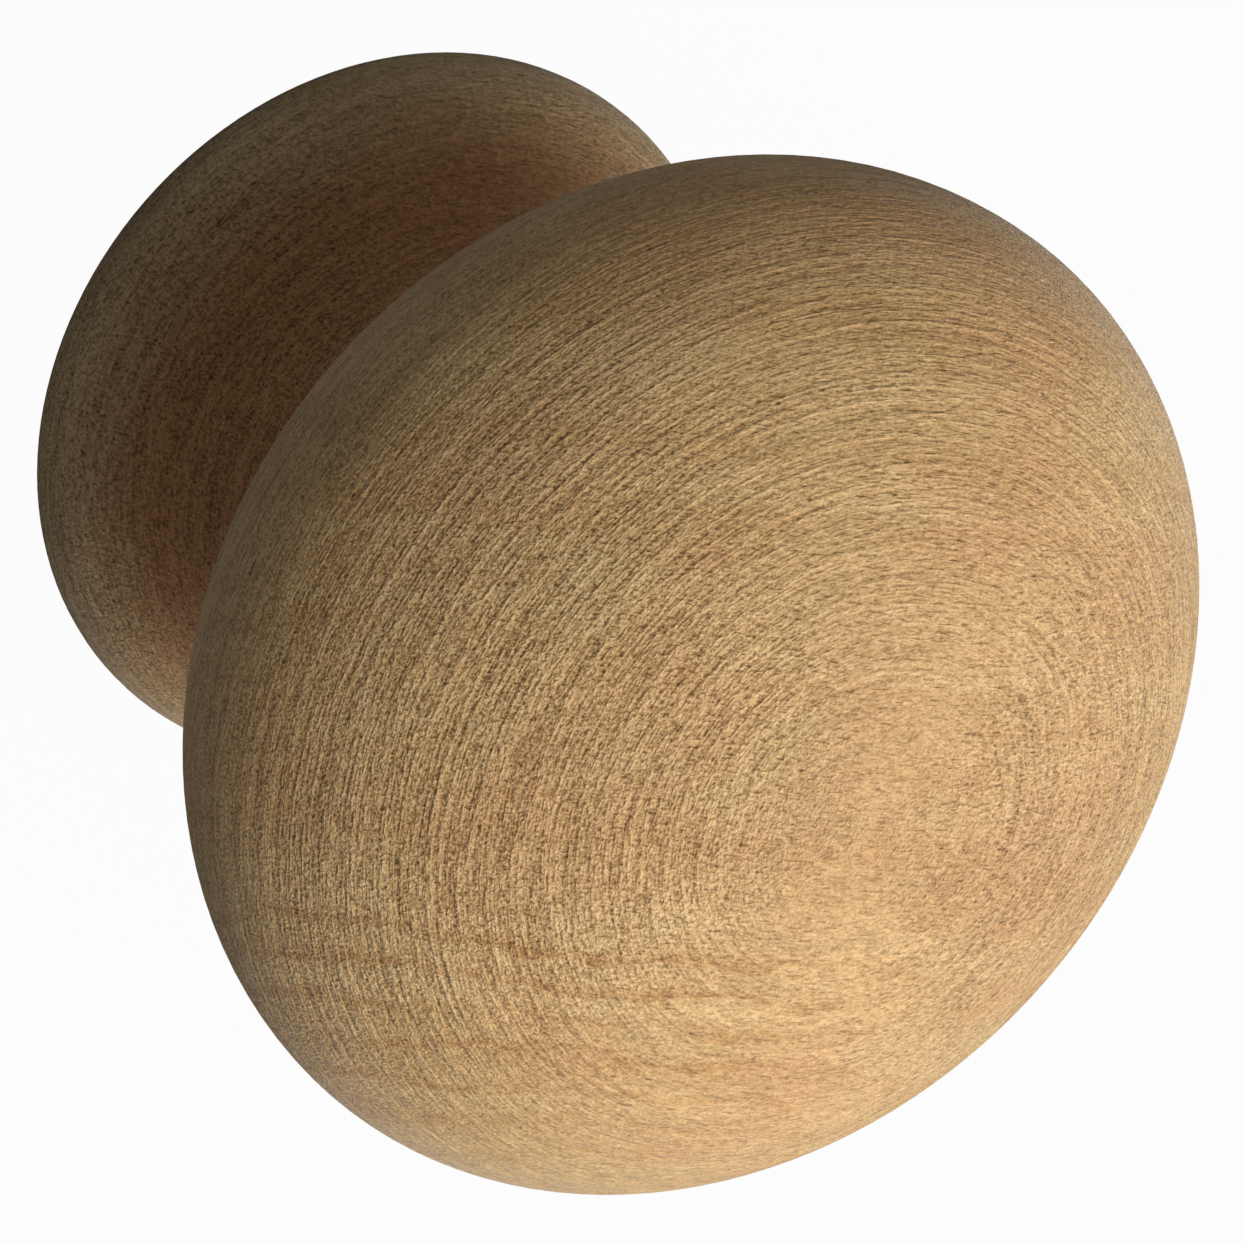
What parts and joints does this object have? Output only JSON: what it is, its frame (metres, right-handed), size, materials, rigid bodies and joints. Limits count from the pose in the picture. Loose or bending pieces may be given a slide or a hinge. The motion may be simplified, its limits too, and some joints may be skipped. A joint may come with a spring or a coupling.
{
  "type": "wooden cabinet knob",
  "caption": "Turned wooden cabinet knob with a broad domed head, a narrow neck and a flared foot, drilled in the back for a screw.",
  "frame": {"origin": "centre of the flat back that bears on the drawer front", "axes": "+Z along the turning axis, from the back to the top of the dome"},
  "size_m": [0.038, 0.038, 0.036],
  "materials": {
    "raw_wood": "raw, turned and lightly sanded, with no lacquer"
  },
  "bodies": {
    "root": {"turned_knob": "raw_wood"}
  },
  "joints": []
}
